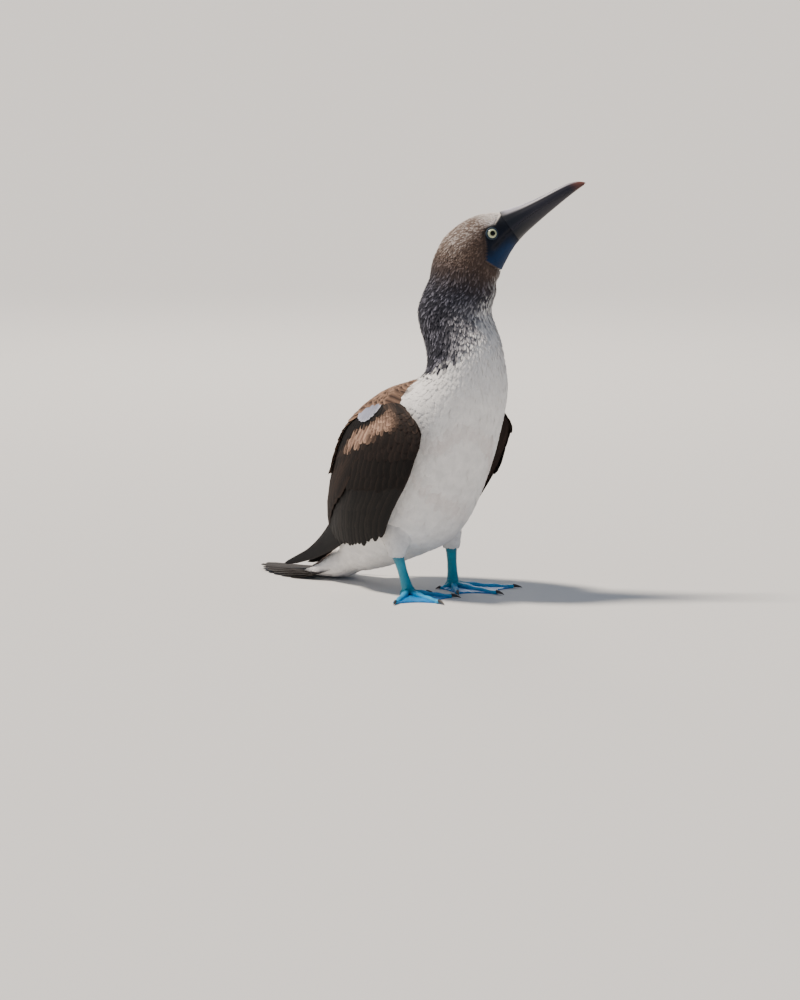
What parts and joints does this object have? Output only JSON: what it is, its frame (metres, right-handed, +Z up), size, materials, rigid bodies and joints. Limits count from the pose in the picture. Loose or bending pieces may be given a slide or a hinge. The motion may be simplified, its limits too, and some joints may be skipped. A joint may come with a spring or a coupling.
{
  "type": "blue footed booby figure",
  "caption": "Life-size figure of a blue footed booby standing on webbed feet, neck stretched and long pointed bill raised to one side, wings folded, tail resting on the ground",
  "frame": {"origin": "on the ground under the middle of the bounding box", "axes": "+Z up; the body faces -Y and its left side is +X; the head is turned 42 degrees to its left"},
  "size_m": [0.2156, 0.424, 0.4891],
  "materials": {
    "white_feather": "soft white body feathers",
    "neck_feather": "streaked brown and buff feathers",
    "head_feather": "fine buff feathers with brown streaks",
    "wing_feather": "dark brown flight and covert feathers",
    "tail_feather": "dark brown tail feathers",
    "bill_horn": "slate blue-grey horn, satin",
    "eye": "pale yellow iris under a wet clear surface",
    "blue_skin": "bright blue scaled skin",
    "claw_horn": "dark grey horn"
  },
  "bodies": {
    "root": {"torso": "white_feather", "neck_lower": "neck_feather", "neck_upper": "neck_feather", "head": "head_feather", "eye_right": "eye", "eye_left": "eye", "bill_upper": "bill_horn", "bill_lower": "bill_horn", "wing_left": "wing_feather", "wing_right": "wing_feather", "tail": "tail_feather", "thigh_left": "white_feather", "thigh_right": "white_feather", "shank_left": "blue_skin", "shank_right": "blue_skin", "foot_left": "blue_skin", "foot_right": "blue_skin", "claw_left_outer": "claw_horn", "claw_left_middle": "claw_horn", "claw_left_inner": "claw_horn", "claw_left_hind": "claw_horn", "claw_right_outer": "claw_horn", "claw_right_middle": "claw_horn", "claw_right_inner": "claw_horn", "claw_right_hind": "claw_horn"}
  },
  "joints": []
}
